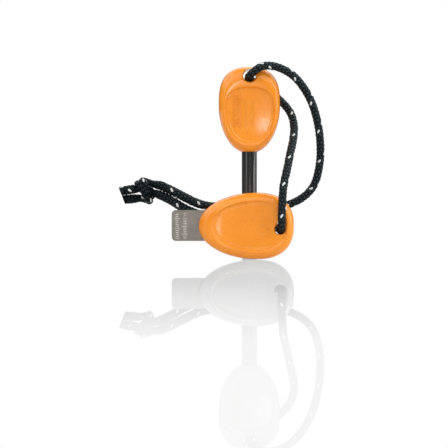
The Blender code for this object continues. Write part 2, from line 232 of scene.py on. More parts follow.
def block(name, low, high, material):
    """A box from its lowest to its highest corner."""
    x0, y0, z0 = low
    x1, y1, z1 = high
    rings = [np.array([(x0, y0, z), (x1, y0, z), (x1, y1, z), (x0, y1, z)]) for z in (z0, z1)]
    return loft(name, rings, material)


def carve(obj, cutters):
    """Cuts the cutters out of an object for good, and removes them."""
    for cutter in cutters:
        step = obj.modifiers.new(cutter.name, "BOOLEAN")
        step.operation = "DIFFERENCE"
        step.object = cutter
        step.solver = "EXACT"
    graph = bpy.context.evaluated_depsgraph_get()
    cut = bpy.data.meshes.new_from_object(obj.evaluated_get(graph))
    obj.modifiers.clear()
    obj.data = cut
    for cutter in cutters:
        bpy.data.objects.remove(cutter)
    return obj


def box_mm(*nodes):
    """Lowest and highest corner of some CAD nodes together, in millimetres."""
    boxes = [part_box(node) for node in nodes]
    low = np.min([np.array(b[0]) for b in boxes], axis=0) / MM
    high = np.max([np.array(b[1]) for b in boxes], axis=0) / MM
    return low, high


def smoothstep(x):
    """0 below 0, 1 above 1, and a smooth rise between."""
    x = np.clip(x, 0.0, 1.0)
    return x * x * (3.0 - 2.0 * x)


# ---------------------------- materials


class Nodes:
    """Short calls that build the node tree of one material or world."""

    def __init__(self, owner):
        owner.use_nodes = True
        self.owner = owner
        self.tree = owner.node_tree

    def node(self, kind, **settings):
        made = self.tree.nodes.new(kind)
        for key, value in settings.items():
            setattr(made, key, value)
        return made

    def feed(self, socket, value):
        """Links a socket or sets it. One number fills a vector, and a plain colour gets an alpha of 1."""
        if isinstance(value, bpy.types.NodeSocket):
            self.tree.links.new(value, socket)
            return
        size = len(socket.default_value) if hasattr(socket.default_value, "__len__") else 0
        if size and not hasattr(value, "__len__"):
            value = [value] * size
        elif size == 4 and len(value) == 3:
            value = (*value, 1.0)
        socket.default_value = value

    def math(self, operation, *values):
        made = self.node("ShaderNodeMath", operation=operation)
        for socket, value in zip(made.inputs, values):
            self.feed(socket, value)
        return made.outputs[0]

    def times(self, a, b):
        return self.math("MULTIPLY", a, b)

    def plus(self, a, b):
        return self.math("ADD", a, b)

    def minus(self, a, b):
        return self.math("SUBTRACT", a, b)

    def mix(self, factor, a, b):
        """Colour a at factor 0 and colour b at factor 1."""
        made = self.node("ShaderNodeMix", data_type="RGBA")
        self.feed(made.inputs[0], factor)
        self.feed(made.inputs[6], a)
        self.feed(made.inputs[7], b)
        return made.outputs[2]

    def fade(self, value, low, high, start=0.0, end=1.0):
        """Maps low..high to start..end, clamped."""
        made = self.node("ShaderNodeMapRange")
        for socket, v in zip(made.inputs, (value, low, high, start, end)):
            self.feed(socket, v)
        return made.outputs[0]

    def place(self, scale=(1.0, 1.0, 1.0)):
        """The surface's own coordinates, in millimetres times scale."""
        coordinates = self.node("ShaderNodeTexCoord").outputs["Object"]
        made = self.node("ShaderNodeMapping")
        self.feed(made.inputs["Vector"], coordinates)
        made.inputs["Scale"].default_value = [s / MM for s in scale]
        return made.outputs[0]

    def noise(self, vector, scale, detail=2.0, roughness=0.5):
        made = self.node("ShaderNodeTexNoise")
        self.feed(made.inputs["Vector"], vector)
        made.inputs["Scale"].default_value = scale
        made.inputs["Detail"].default_value = detail
        made.inputs["Roughness"].default_value = roughness
        return made.outputs[0]

    def bump(self, height, depth_mm, strength=1.0, normal=None):
        made = self.node("ShaderNodeBump")
        made.inputs["Strength"].default_value = strength
        made.inputs["Distance"].default_value = depth_mm * MM
        self.feed(made.inputs["Height"], height)
        if normal is not None:
            self.feed(made.inputs["Normal"], normal)
        return made.outputs[0]

    def split(self, vector):
        """The x, y and z of a vector."""
        made = self.node("ShaderNodeSeparateXYZ")
        self.feed(made.inputs[0], vector)
        return made.outputs

    def light_path(self, name):
        """1 for rays of the named kind."""
        return self.node("ShaderNodeLightPath").outputs[name]

    def finish(self, **values):
        """Feeds the material's main shader, whose inputs are named with _ for a space."""
        shader = self.tree.nodes["Principled BSDF"]
        for key, value in values.items():
            self.feed(shader.inputs[key.replace("_", " ")], value)
        return self.owner


def look(name):
    """The node tree of a new material."""
    return Nodes(bpy.data.materials.new(f"{name}_look"))


def grey_in_mirror(n, body, grey):
    """The floor's perfect mirror sees this grey instead of the body colour. No other ray does."""
    return n.mix(n.light_path("Is Singular Ray"), body, (grey, grey, grey))


def orange_plastic():
    """Glossy moulded plastic: a slow drift in its orange, small darker flecks and a faint orange peel."""
    n = look("orange_plastic")
    place = n.place()
    drift = n.fade(n.noise(place, 0.11, 3.0), 0.35, 0.65)
    body = n.mix(drift, (0.825, 0.262, 0.012), (0.865, 0.287, 0.018))
    fleck = n.fade(n.noise(place, 1.15, 1.5), 0.63, 0.71)
    fine = n.fade(n.noise(place, 3.1, 1.0), 0.66, 0.75)
    body = n.mix(n.times(fleck, 0.45), body, (0.60, 0.135, 0.008))
    body = n.mix(n.times(fine, 0.25), body, (0.62, 0.16, 0.012))
    body = grey_in_mirror(n, body, 0.34)
    peel = n.bump(n.noise(place, 1.6, 2.0), 0.012, 0.5)
    grain = n.bump(n.noise(place, 9.0, 2.0), 0.004, 0.5, peel)
    rough = n.fade(n.noise(place, 0.5, 4.0), 0.3, 0.7, 0.12, 0.19)
    return n.finish(
        Base_Color=body,
        Roughness=rough,
        Normal=grain,
        Subsurface_Weight=0.12,
        Subsurface_Radius=(1.0, 0.35, 0.1),
        Subsurface_Scale=1.2 * MM,
        IOR=1.48,
    )


def ferrocerium():
    """A dark coated rod with fine draw marks along it, turning warmer brown below a height of 44 mm."""
    n = look("ferrocerium")
    along = n.place((1.0, 1.0, 0.035))
    streaks = n.noise(along, 2.6, 4.0, 0.6)
    spots = n.fade(n.noise(n.place(), 1.4, 4.0, 0.6), 0.55, 0.75)
    low = n.fade(n.split(n.place())[2], 44.0, 33.0)
    body = n.mix(n.fade(streaks, 0.35, 0.65), (0.004, 0.005, 0.005), (0.011, 0.012, 0.011))
    body = n.mix(n.times(low, 0.5), body, (0.024, 0.017, 0.012))
    body = n.mix(n.times(spots, 0.3), body, (0.05, 0.046, 0.04))
    rough = n.fade(streaks, 0.3, 0.7, 0.08, 0.15)
    marks = n.bump(streaks, 0.012, 0.5)
    pits = n.bump(n.noise(n.place(), 4.5, 3.0), 0.004, 0.5, marks)
    return n.finish(Base_Color=body, Roughness=rough, Normal=pits, Specular_IOR_Level=0.9)


def blade_steel():
    """Bead-blasted steel with two pale etched scales of plain ticks, as on a ruler."""
    n = look("blade_steel")
    place = n.place()
    x, _, z = n.split(place)
    grain = n.noise(place, 6.0, 4.0, 0.65)
    cloud = n.fade(n.noise(place, 0.25, 3.0), 0.35, 0.65)
    body = n.mix(cloud, (0.222, 0.200, 0.178), (0.275, 0.248, 0.221))
    body = n.mix(n.fade(grain, 0.4, 0.7, 0.0, 0.5), body, (0.34, 0.312, 0.284))
    outer = tick_column(n, x, z, centre_x=-35.7, spacing=1.0)
    inner = tick_column(n, x, z, centre_x=-31.9, spacing=0.8)
    ticks = n.math("MAXIMUM", outer, inner)
    worn = n.fade(n.noise(place, 2.2, 3.0), 0.36, 0.52)
    mark = n.times(ticks, n.times(worn, 0.75))
    body = n.mix(mark, body, (0.85, 0.82, 0.76))
    body = grey_in_mirror(n, body, 0.38)
    rough = n.fade(grain, 0.3, 0.7, 0.42, 0.56)
    rough = n.plus(rough, n.times(mark, 0.1))
    blast = n.bump(grain, 0.012, 0.6)
    etched = n.bump(n.minus(1.0, mark), 0.03, 0.5, blast)
    return n.finish(Base_Color=body, Roughness=rough, Normal=etched, Metallic=0.9)


def tick_column(n, x, z, centre_x, spacing):
    """1 on the ticks of an upright scale: every fifth tick is long."""
    thickness, short, longer = 0.42, 0.75, 0.55
    count = n.math("DIVIDE", z, spacing)
    on = n.math("LESS_THAN", n.math("FRACT", count), thickness)
    fifth = n.math("LESS_THAN", n.math("FLOORED_MODULO", n.math("FLOOR", count), 5.0), 0.5)
    half = n.plus(short, n.times(fifth, longer))
    near = n.math("LESS_THAN", n.math("ABSOLUTE", n.minus(x, centre_x)), half)
    away = n.math("ABSOLUTE", n.minus(z, SCALE_MIDDLE))
    inside = n.math("LESS_THAN", away, SCALE_HALF_HEIGHT)
    return n.times(on, n.times(near, inside))


def yarn_on_top(n):
    """braid_height in nodes: the yarn's number, 1 if it rises, places across and along it, and height."""
    u, v, _ = n.split(n.node("ShaderNodeUVMap", uv_map="braid").outputs[0])
    around = n.times(u, float(BRAID_YARNS))
    along = n.times(v, float(BRAID_YARNS))
    a = n.minus(around, along)
    b = n.plus(around, along)
    i, j = n.math("FLOOR", a), n.math("FLOOR", b)
    phase = n.math("FLOORED_MODULO", n.minus(i, j), 4.0)
    rising = n.math("LESS_THAN", phase, 1.5)
    falling = n.minus(1.0, rising)

    def chosen(if_rising, if_falling):
        return n.plus(n.times(if_rising, rising), n.times(if_falling, falling))

    across = chosen(n.math("FRACT", a), n.math("FRACT", b))
    centred = n.minus(n.times(across, 2.0), 1.0)
    round_yarn = n.math("SQRT", n.minus(1.02, n.math("POWER", n.math("ABSOLUTE", centred), 2.0)))
    run_rising = n.math("WRAP", n.minus(b, i), 2.0, -2.0)
    run_falling = n.math("WRAP", n.minus(n.minus(a, j), 3.0), 2.0, -2.0)
    run = chosen(run_rising, run_falling)
    over = n.math("MAXIMUM", n.math("COSINE", n.times(run, math.pi / 2)), 0.0)
    height = n.times(n.math("POWER", over, 0.5), round_yarn)
    return i, rising, across, run, height


def braided_nylon():
    """Black nylon braid with fibres in each yarn. One yarn of sixteen is white. Shade is painted in: the
    grooves between the yarns are darker, and the knot and the cut ends have less shine.
    """
    n = look("black_cord")
    i, rising, across, run, height = yarn_on_top(n)
    tracer = n.math("LESS_THAN", n.math("FLOORED_MODULO", i, float(BRAID_YARNS)), 0.5)
    white = n.times(n.times(tracer, rising), n.math("GREATER_THAN", height, 0.5))
    fibres = n.math("SINE", n.plus(n.times(across, 26.0), n.times(run, 5.0)))
    fuzz = n.noise(n.place(), 5.0, 3.0)
    # Painted shade: the base colour is darkest in the grooves between the yarns and lightest on their tops.
    dark = n.mix(n.fade(height, 0.45, 0.95), (0.0005, 0.001, 0.0013), (0.005, 0.009, 0.0108))
    dark = n.mix(n.fade(fuzz, 0.52, 0.75, 0.0, 0.5), dark, (0.02, 0.027, 0.03))
    pale = n.mix(n.fade(fuzz, 0.3, 0.7), (0.50, 0.53, 0.53), (0.74, 0.76, 0.75))
    # Painted shade: from x -32 mm to -46 mm and beyond, the shine drops to 0.45 of its level, so the knot
    # and the cut ends look darker.
    painted_knot_shade = n.fade(n.split(n.place())[0], -46.0, -32.0, 0.45, 1.0)
    # Painted shade: the shine also falls away in the grooves between the yarns.
    shine = n.times(n.fade(height, 0.4, 0.9, 0.04, 0.5), painted_knot_shade)
    thread = n.bump(fibres, 0.03, 0.6)
    lobes = n.bump(height, 0.14, 0.8, thread)
    return n.finish(
        Base_Color=n.mix(white, dark, pale),
        Roughness=n.fade(fuzz, 0.3, 0.7, 0.2, 0.36),
        Normal=lobes,
        Specular_IOR_Level=shine,
        Specular_Tint=(0.72, 0.93, 1.0, 1.0),
    )


def core_yarn():
    """The plain grey yarns inside the cord, seen only at its cut ends."""
    n = look("cord_core")
    strand = n.noise(n.place((0.2, 1.0, 1.0)), 7.0, 4.0, 0.6)
    body = n.mix(n.fade(strand, 0.35, 0.65), (0.10, 0.10, 0.095), (0.22, 0.22, 0.21))
    fray = n.bump(n.noise(n.place(), 8.0, 3.0), 0.02, 0.6)
    return n.finish(Base_Color=body, Roughness=0.85, Normal=fray, Sheen_Weight=0.3)


def cured_glue():
    """Epoxy squeezed into the rod's socket."""
    n = look("cured_glue")
    lump = n.noise(n.place(), 1.2, 3.0)
    body = n.mix(n.fade(lump, 0.35, 0.65), (0.06, 0.058, 0.052), (0.095, 0.092, 0.085))
    return n.finish(Base_Color=body, Roughness=0.45, Normal=n.bump(lump, 0.05, 0.5))


# ---------------------------- grips


@dataclass
class Egg:
    """An egg outline: two half superellipses that meet at its widest line."""

    half_width: float
    blunt_length: float
    narrow_length: float
    blunt_power: float
    narrow_power: float
    shift: float = 0.0

    def ring(self, inset=0.0):
        """(along, across) at even polar angles about the widest point, blunt end first."""
        turn = even_turns(ANGLES)
        blunt = np.cos(turn) > 0
        length = np.where(blunt, self.blunt_length, self.narrow_length) - inset
        power = np.where(blunt, self.blunt_power, self.narrow_power)
        along = np.abs(np.cos(turn) / length) ** power
        across = np.abs(np.sin(turn) / (self.half_width - inset)) ** power
        radius = (along + across) ** (-1.0 / power)
        return np.stack([self.shift + radius * np.cos(turn), radius * np.sin(turn)], axis=1)


@dataclass
class Grip:
    """One handle: its outline, its thumb dish, and place, which turns (along, across, depth) into a point.

    curvature is the dish's bend below and above its deepest point, for along and then for across. groove is
    the depth of the line round its floor.
    """

    name: str
    outline: Egg
    dish: Egg
    half_thickness: float
    deepest: tuple
    bowl: float
    curvature: tuple
    groove: float
    place: object

    def floor(self, flat):
        """Depth of the dish's floor: a bowl that curves differently on each side of its deepest point."""
        height = self.half_thickness - self.bowl
        for axis in (0, 1):
            away = flat[:, axis] - self.deepest[axis]
            below, above = self.curvature[axis]
            height = height + 0.5 * np.where(away < 0, below, above) * away**2
        return height


def crown(distance, width):
    """Share of the full thickness at this distance in from the outline, on a flank this wide."""
    left = 1.0 - np.clip(distance / width, 0.0, 1.0)
    return (1.0 - left**FLANK_POWER) ** (1.0 / FLANK_POWER)


def crown_inverse(share, width):
    """The distance at which the crown reaches this share."""
    return width * (1.0 - (1.0 - share**FLANK_POWER) ** (1.0 / FLANK_POWER))


def grip_rings(grip):
    """(flat points, depths) from the seam over the flank and the rim, and down into the dish."""
    outer, edge = grip.outline.ring(), grip.dish.ring()
    margin = np.linalg.norm(edge - outer, axis=1)
    start = SEAM_GAP / 2 + SEAM_ROUND
    rise = grip.half_thickness - start
    rings = [
        (grip.outline.ring(SEAM_ROUND), np.full(ANGLES, SEAM_GAP / 2)),
        (grip.outline.ring(SEAM_ROUND * 0.3), np.full(ANGLES, SEAM_GAP / 2 + SEAM_ROUND * 0.3)),
    ]

    def rim_ring(distance):
        share = (distance / margin)[:, None]
        rings.append((outer * (1.0 - share) + edge * share, start + rise * crown(distance, width)))

    least, most = FLANK_WIDTHS
    width = least + (most - least) * smoothstep((margin - FLANK_FROM) / FLANK_OVER)
    near = np.minimum(width * 0.7, margin * 0.75)
    for k in range(FLANK_RINGS):
        rim_ring(crown_inverse(crown(near, width) * k / (FLANK_RINGS - 1), width))
    for k in range(1, RIM_RINGS + 1):
        rim_ring(near + (margin - near) * k / RIM_RINGS)

    base = start + rise * crown(margin, width)
    turn = even_turns(ANGLES)
    # The groove is deepest at the narrow end and dies away towards the blunt one.
    narrow = 0.5 - 0.5 * np.cos(turn)

    def floor_ring(flat, inset):
        depth = base + (grip.floor(flat) - base) * smoothstep(inset / DISH_WALL)
        groove = np.exp(-(((inset - GROOVE_AT) / GROOVE_WIDTH) ** 2)) * narrow
        rings.append((flat, depth - grip.groove * groove))

    for inset in DISH_INSETS:
        floor_ring(grip.dish.ring(inset), inset)
    last = grip.dish.ring(DISH_INSETS[-1])
    for k in range(1, FLOOR_RINGS):
        floor_ring(last * (1.0 - k / FLOOR_RINGS) + np.array(grip.deepest) * k / FLOOR_RINGS, math.inf)
    return rings


def grip_half(grip, side, material):
    """One half of a grip as a closed body. Side -1 is the front and 1 the rear."""
    rings = [grip.place(flat[:, 0], flat[:, 1], side * depth) for flat, depth in grip_rings(grip)]
    label = "front" if side < 0 else "rear"
    return loft(f"{grip.name}_{label}", rings, material, flip=side * grip_turn(grip) < 0)


def grip_turn(grip):
    """1 if the place function keeps handedness, -1 if it mirrors."""
    zero, one = np.zeros(1), np.ones(1)
    origin = grip.place(zero, zero, zero)[0]
    steps = ((one, zero, zero), (zero, one, zero), (zero, zero, one))
    axes = [grip.place(*step)[0] - origin for step in steps]
    return np.sign(np.linalg.det(np.array(axes)))


def eye_cutter(grip, along, across, radius, lip_inset, material):
    """A round hole through the grip whose lips curve outwards, as a rope guide's do."""
    depth = grip.half_thickness - EYE_LIP - lip_inset
    profile = []
    for k in range(EYE_STEPS + 1):
        turn = math.pi / 2 * k / EYE_STEPS
        profile.append((depth + EYE_LIP * math.sin(turn), radius + EYE_LIP * (1.0 - math.cos(turn))))
    profile.append((grip.half_thickness + 1.5, radius + EYE_LIP * 1.4))
    full = [(-h, r) for h, r in profile[::-1]] + profile
    middle = grip.place(np.array([along]), np.array([across]), np.zeros(1))[0]
    return turned("eye", middle, (0.0, 1.0, 0.0), full, material, sides=72)


def rod_grip(orange):
    """Both halves of the upright grip that holds the rod, and the relief in its front dish."""
    low, high = box_mm("rod_handle_front_shell", "rod_handle_rear_shell")
    rod_low, rod_high = box_mm("ferro_rod")
    blunt = 18.3
    widest = high[2] - blunt
    half_width = (high[0] - low[0]) / 2

    def place(along, across, depth):
        return np.stack([across, depth + 0 * along, widest + along], axis=1)

    grip = Grip(
        name="rod_grip",
        outline=Egg(half_width, blunt, narrow_length=24.7, blunt_power=2.65, narrow_power=2.1),
        dish=Egg(12.6, 11.7, narrow_length=17.4, blunt_power=2.6, narrow_power=2.2, shift=-3.4),
        half_thickness=(high[1] - low[1]) / 2,
        deepest=(-6.55, 2.0),
        bowl=1.4,
        curvature=((0.011, 0.004), (0.004, 0.011)),
        groove=0.03,
        place=place,
    )
    eye_along = joint_place("cord_swing")[2] - widest
    bore = (rod_high[0] - rod_low[0]) / 2 + SOCKET_CLEARANCE
    below, reach = 5.0, 20.0
    for side in (-1, 1):
        half = grip_half(grip, side, orange)
        start = (0.0, 0.0, low[2] - below)
        profile = [(0.0, bore), (below + SOCKET_DEPTH, bore)]
        cutters = [
            eye_cutter(grip, eye_along, 0.0, ROD_EYE_RADIUS, 0.6, orange),
            turned("socket", start, (0.0, 0.0, 1.0), profile, orange, sides=64),
            block("below", (-reach, -reach, low[2] - 2 * below), (reach, reach, low[2]), orange),
        ]
        finish_grip_piece(carve(half, cutters), "rod_handle", side, "rod_unit")
    left = straight_path(top=1.0, length=14.0, across=-1.6)
    right = straight_path(top=1.0, length=14.0, across=1.6)
    relief = (
        pips("rod_grip_pips", grip, top=4.0, first=-8.0, rows=23, columns=6, material=orange),
        rib("rod_grip_rib_left", grip, left, orange),
        rib("rod_grip_rib_right", grip, right, orange),
    )
    for piece in relief:
        finish_grip_piece(piece, "rod_handle", -1, "rod_unit")


def striker_grip(orange):
    """Both halves of the grip on edge that holds the blade, and the ring in its front dish."""
    low, high = box_mm("striker_handle_front_shell", "striker_handle_rear_shell")
    blunt = 18.4
    widest = high[0] - blunt
    middle_y = (low[1] + high[1]) / 2
    middle_z = (low[2] + high[2]) / 2

    def place(along, across, depth):
        return np.stack([widest + along, middle_y + depth, middle_z + across], axis=1)

    grip = Grip(
        name="striker_grip",
        outline=Egg((high[2] - low[2]) / 2, blunt, narrow_length=28.6, blunt_power=2.4, narrow_power=2.0),
        dish=Egg(12.5, 15.0, narrow_length=22.4, blunt_power=2.4, narrow_power=2.1),
        half_thickness=(high[1] - low[1]) / 2,
        deepest=(-14.6, 1.5),
        bowl=1.05,
        curvature=((0.022, 0.0009), (0.0027, 0.0027)),
        groove=0.1,
        place=place,
    )
    eye = joint_place("striker_swing")
    blade_low, blade_high = box_mm("striker_blade")
    half_slot = (blade_high[1] - blade_low[1]) / 2 + SLOT_CLEARANCE
    slot_low = (blade_low[0], middle_y - half_slot, blade_low[2] - SLOT_CLEARANCE)
    slot_high = (blade_high[0] + 0.3, middle_y + half_slot, blade_high[2] + SLOT_CLEARANCE)
    for side in (-1, 1):
        half = grip_half(grip, side, orange)
        eye_along = eye[0] + STRIKER_EYE_SHIFT - widest
        cutters = [
            eye_cutter(grip, eye_along, eye[2] - middle_z, STRIKER_EYE_RADIUS, 0.8, orange),
            block("slot", slot_low, slot_high, orange),
        ]
        finish_grip_piece(carve(half, cutters), "striker_handle", side, "striker_unit")
    path = ring_path(along=6.3 - widest, across=14.5 - middle_z, radius=2.4)
    ring = rib("striker_grip_ring", grip, path, orange)
    finish_grip_piece(ring, "striker_handle", -1, "striker_unit")


def raised(grip, flat, lift):
    """Points this far above the floor of the grip's front dish."""
    return grip.place(flat[:, 0], flat[:, 1], -(grip.floor(flat) + lift))


def rib(name, grip, path, material):
    """A low rounded rib that follows the (along, across) path over the floor of the dish."""
    along = np.gradient(path, axis=0)
    along /= np.linalg.norm(along, axis=1)[:, None]
    across = np.stack([-along[:, 1], along[:, 0]], axis=1)
    sides = []
    for turn in even_turns(RIB_SIDES):
        flat = path + across * RIB_WIDTH / 2 * math.cos(turn)
        sides.append(raised(grip, flat, RIB_HEIGHT * math.sin(turn)))
    return loft(name, list(np.stack(sides, axis=1)), material, flip=grip_turn(grip) > 0)


def straight_path(top, length, across):
    """A straight line down the dish."""
    along = top - np.linspace(0.0, length, 40)
    return np.stack([along, np.full(len(along), across)], axis=1)


def ring_path(along, across, radius):
    """A circle that runs on a little past its start, so that a rib along it closes."""
    turn = np.linspace(0.0, 2.1 * math.pi, 60)
    return np.stack([along + radius * np.cos(turn), across + radius * np.sin(turn)], axis=1)


def pips(name, grip, top, first, rows, columns, material):
    """A patch of small round pips on the floor of the dish, one mesh for all of them."""
    points, faces = [], []
    sides = loft_faces(len(PIP_PROFILE), PIP_SIDES)
    for row in range(rows):
        for column in range(columns):
            centre = np.array([top - row * PIP_PITCH, first + column * PIP_PITCH, 0.0])
            start = len(points)
            for width, lift in PIP_PROFILE:
                ring = circle(centre, PIP_RADIUS * width, (1.0, 0.0, 0.0), (0.0, 1.0, 0.0), PIP_SIDES)
                points += list(raised(grip, ring[:, :2], PIP_HEIGHT * lift))
            last = len(points) - PIP_SIDES
            faces += [tuple(start + v for v in face) for face in sides]
            faces.append(tuple(start + v for v in range(PIP_SIDES))[::-1])
            faces.append(tuple(last + v for v in range(PIP_SIDES)))
    if grip_turn(grip) > 0:
        faces = [face[::-1] for face in faces]
    return mesh_object(name, np.array(points), faces, material)


def finish_grip_piece(piece, node, side, body):
    """Shades a half of a grip or its relief, hides the CAD shell on that side, and attaches the piece to the
    body.
    """
    label = "front" if side < 0 else "rear"
    smooth(piece, 32.0)
    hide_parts(f"{node}_{label}_shell")
    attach(piece, body)


def joint_place(name):
    """Where a joint's axis stands, in millimetres."""
    joint = next(j for j in frame["joints"] if j["name"] == name)
    return np.array(joint["pos_m"]) / MM


# ---------------------------- rod and blade


def rod(material):
    """The rod: rounded at its lower edge and chamfered at its hidden upper one."""
    low, high = box_mm("ferro_rod")
    radius = (high[0] - low[0]) / 2
    inner = radius - ROD_EDGE
    steps = 5
    profile = []
    for k in range(steps + 1):
        turn = math.pi / 2 * k / steps
        profile.append((ROD_EDGE * (1.0 - math.cos(turn)), inner + ROD_EDGE * math.sin(turn)))
    profile += [(h, radius) for h in np.linspace(ROD_EDGE + 1.0, high[2] - ROD_EDGE, 40)]
    profile.append((high[2], inner))
    made = turned("rod", (0.0, 0.0, low[2]), (0.0, 0.0, 1.0), profile, material)
    smooth(made, 40.0)
    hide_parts("ferro_rod")
    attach(made, "rod_unit")


def blade_ring(low, high, inset, y):
    """The blade's outline at one depth: rounded at its tip and square at its tang."""
    corner = BLADE_CORNER - inset
    steps = 10
    x0, x1 = low[0] + inset, high[0] - inset
    z0, z1 = low[2] + inset, high[2] - inset
    points = [(x1, y, z0), (x1, y, z1)]
    for centre_z, start in ((z1 - corner, 90.0), (z0 + corner, 180.0)):
        for k in range(steps + 1):
            turn = math.radians(start + 90.0 * k / steps)
            points.append((x0 + corner + corner * math.cos(turn), y, centre_z + corner * math.sin(turn)))
    return np.array(points)


def blade(material):
    """The striker's steel: a flat plate with its edges just broken."""
    low, high = box_mm("striker_blade")
    edge = BLADE_EDGE
    levels = ((edge, low[1]), (0.0, low[1] + edge), (0.0, high[1] - edge), (edge, high[1]))
    rings = [blade_ring(low, high, inset, y) for inset, y in levels]
    made = smooth(loft("blade", rings, material, flip=True), 30.0)
    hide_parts("striker_blade")
    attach(made, "striker_unit")


# ---------------------------- cord

# The points that the cord's centre line curves through, from above the knot round to below it
ROUTE = [
    # Upper tail, and the crossing behind the rod
    ((-40.0, 8.6, 34.6), (-33.0, 8.0, 30.9), (-24.0, 7.4, 26.9)),
    ((-14.0, 7.2, 25.8), (0.0, 7.2, 25.0), (12.0, 7.0, 24.9)),
    # Outer run
    ((25.2, 6.6, 29.3), (32.3, 6.2, 36.0), (35.3, 5.0, 46.4), (35.7, 3.0, 56.6)),
    ((33.8, 0.8, 69.6), (29.3, -2.0, 81.4), (21.5, -4.6, 91.1)),
    # Into the upper eye from the front, and out behind the grip
    ((12.4, -6.6, 95.4), (6.0, -8.5, 95.2), (2.4, -9.3, 92.8), (-0.2, -7.6, 90.6)),
    ((-0.3, -3.6, 89.9), (-0.3, 3.6, 90.0), (0.5, 7.6, 90.0), (3.0, 9.8, 88.8)),
    # Inner run, from the back to the front
    ((8.2, 10.2, 85.6), (16.1, 9.9, 79.3), (20.9, 8.2, 73.2), (22.5, 3.6, 66.0)),
    ((21.7, -3.0, 59.0), (20.0, -9.4, 52.0), (18.1, -15.0, 43.6), (16.2, -18.9, 35.0)),
    # Into the lower eye from the front, and out behind the rod
    ((15.7, -19.5, 27.5), (15.5, -19.3, 21.2), (15.4, -17.7, 16.4), (15.3, -14.2, 14.5)),
    ((15.1, -7.0, 14.6), (14.6, -1.4, 15.0), (12.0, 4.0, 15.7), (6.5, 7.0, 16.8), (-4.0, 7.2, 18.9)),
    # Lower tail
    ((-14.0, 7.2, 20.6), (-24.0, 7.4, 21.6), (-33.0, 7.9, 25.1), (-41.0, 8.5, 30.3)),
]
UPPER_SPLIT = np.array([-14.0, 7.2, 25.8])
LOWER_SPLIT = np.array([-14.0, 7.2, 20.6])
UPPER_TIP = np.array([-67.4, 9.0, 33.35])
LOWER_TIP = np.array([-66.4, 9.0, 28.95])


def along_lengths(line):
    """How far along the line each of its points is."""
    return np.concatenate([[0.0], np.cumsum(np.linalg.norm(np.diff(line, axis=0), axis=1))])


def even_line(line, step=None, count=None):
    """The line at even steps along its length: a count of points, or points about one step apart."""
    lengths = along_lengths(line)
    count = count or int(round(lengths[-1] / step)) + 1
    at = np.linspace(0.0, lengths[-1], count)
    return np.stack([np.interp(at, lengths, line[:, k]) for k in range(3)], axis=1)


def between(a, b, start, end, t):
    """The point at t on the straight line that is at a at start and at b at end."""
    return a + (b - a) * (t - start) / (end - start)


def spline(points, steps=12):
    """A centripetal Catmull-Rom curve through the points."""
    points = np.concatenate([[2 * points[0] - points[1]], points, [2 * points[-1] - points[-2]]])
    chords = np.linalg.norm(np.diff(points, axis=0), axis=1)
    knots = np.concatenate([[0.0], np.cumsum(np.sqrt(chords))])
    curve = []
    for i in range(1, len(points) - 2):
        p = points[i - 1 : i + 3]
        k = knots[i - 1 : i + 3]
        for t in np.linspace(k[1], k[2], steps, endpoint=False):
            first = [between(p[j], p[j + 1], k[j], k[j + 1], t) for j in range(3)]
            second = [between(first[j], first[j + 1], k[j], k[j + 2], t) for j in range(2)]
            curve.append(between(second[0], second[1], k[1], k[2], t))
    return np.array(curve + [points[-2]])


def unit_directions(line):
    """The direction of the line at each of its points."""
    along = np.gradient(line, axis=0)
    return along / np.linalg.norm(along, axis=1)[:, None]


def carried_side(along, side):
    """A side vector carried along the directions without twist."""
    sides = []
    for direction in along:
        side = side - direction * (side @ direction)
        side = side / np.linalg.norm(side)
        sides.append(side)
    return np.array(sides)


def loose_knot(right, left):
    """Both strands of a slack overhand knot, from the cord's side to the cut ends."""
    t = np.linspace(-2.05, 2.05, 130)
    x = -(t**5 - 10 * t) * 0.75
    y = -((t**4 - 4 * t**2) * 3.4 + 6.0)
    z = (t**3 - 3 * t) * 3.6
    middle = np.stack([x, y, z], axis=1) + KNOT_START
    offsets = carried_side(unit_directions(middle), np.array([0.0, 0.0, 1.0])) * KNOT_CONTACT * 1.02
    pull = np.clip((np.abs(t) - 1.6) / 0.45, 0.0, 1.0)[:, None] ** 2
    strands = []
    for sign, start, end in ((1.0, right[0], left[0]), (-1.0, right[1], left[1])):
        strand = middle + sign * offsets
        strand = strand + pull * (t < 0)[:, None] * (start - strand[0])
        strand = strand + pull * (t > 0)[:, None] * (end - strand[-1])
        strands.append(even_line(strand, count=KNOT_POINTS))
    return strands


def tie_knot(right, left):
    """Pulls the slack out of the knot while the strands keep each other and themselves at a distance."""
    n = KNOT_POINTS
    points = np.concatenate(loose_knot(right, left))
    strand = np.repeat([0, 1], n)
    order = np.tile(np.arange(n), 2)
    first, second = np.triu_indices(2 * n, 1)
    same = strand[first] == strand[second]
    apart = np.abs(order[first] - order[second])
    ends = [0, n - 1, n, 2 * n - 1]
    anchors = points[ends].copy()
    slack = [along_lengths(points[s * n : (s + 1) * n])[-1] for s in range(2)]
    for step in range(KNOT_STEPS):
        tight = smoothstep(step / (0.75 * KNOT_STEPS))
        links = [(length + (KNOT_LENGTH - length) * tight) / (n - 1) for length in slack]
        free = ~(same & (apart * links[1] < 2.6 * KNOT_CONTACT))
        for _ in range(3):
            for s in range(2):
                pull_links(points[s * n : (s + 1) * n], links[s])
            push_apart(points, first[free], second[free])
            points[ends] = anchors
    near = smoothstep((7.0 - np.abs(points[:, 0] - KNOT_MIDDLE[0])) / 4.0)
    points[:, 2] += near * (KNOT_FLATNESS - 1.0) * (points[:, 2] - KNOT_MIDDLE[2])
    points[:n, 2] += NECK_LIFT * np.exp(-(((points[:n, 0] - NECK_X) / NECK_LENGTH) ** 2))
    return points[:n], points[n:]


def pull_links(line, link):
    """Draws each link of a strand towards its length and evens out its bends, in place."""
    step = line[1:] - line[:-1]
    length = np.linalg.norm(step, axis=1)[:, None]
    share = np.where(length > link, 0.25, 0.075)
    move = (length - link) / length * step * share
    line[:-1] += move
    line[1:] -= move
    line[1:-1] += 0.1 * ((line[:-2] + line[2:]) / 2 - line[1:-1])


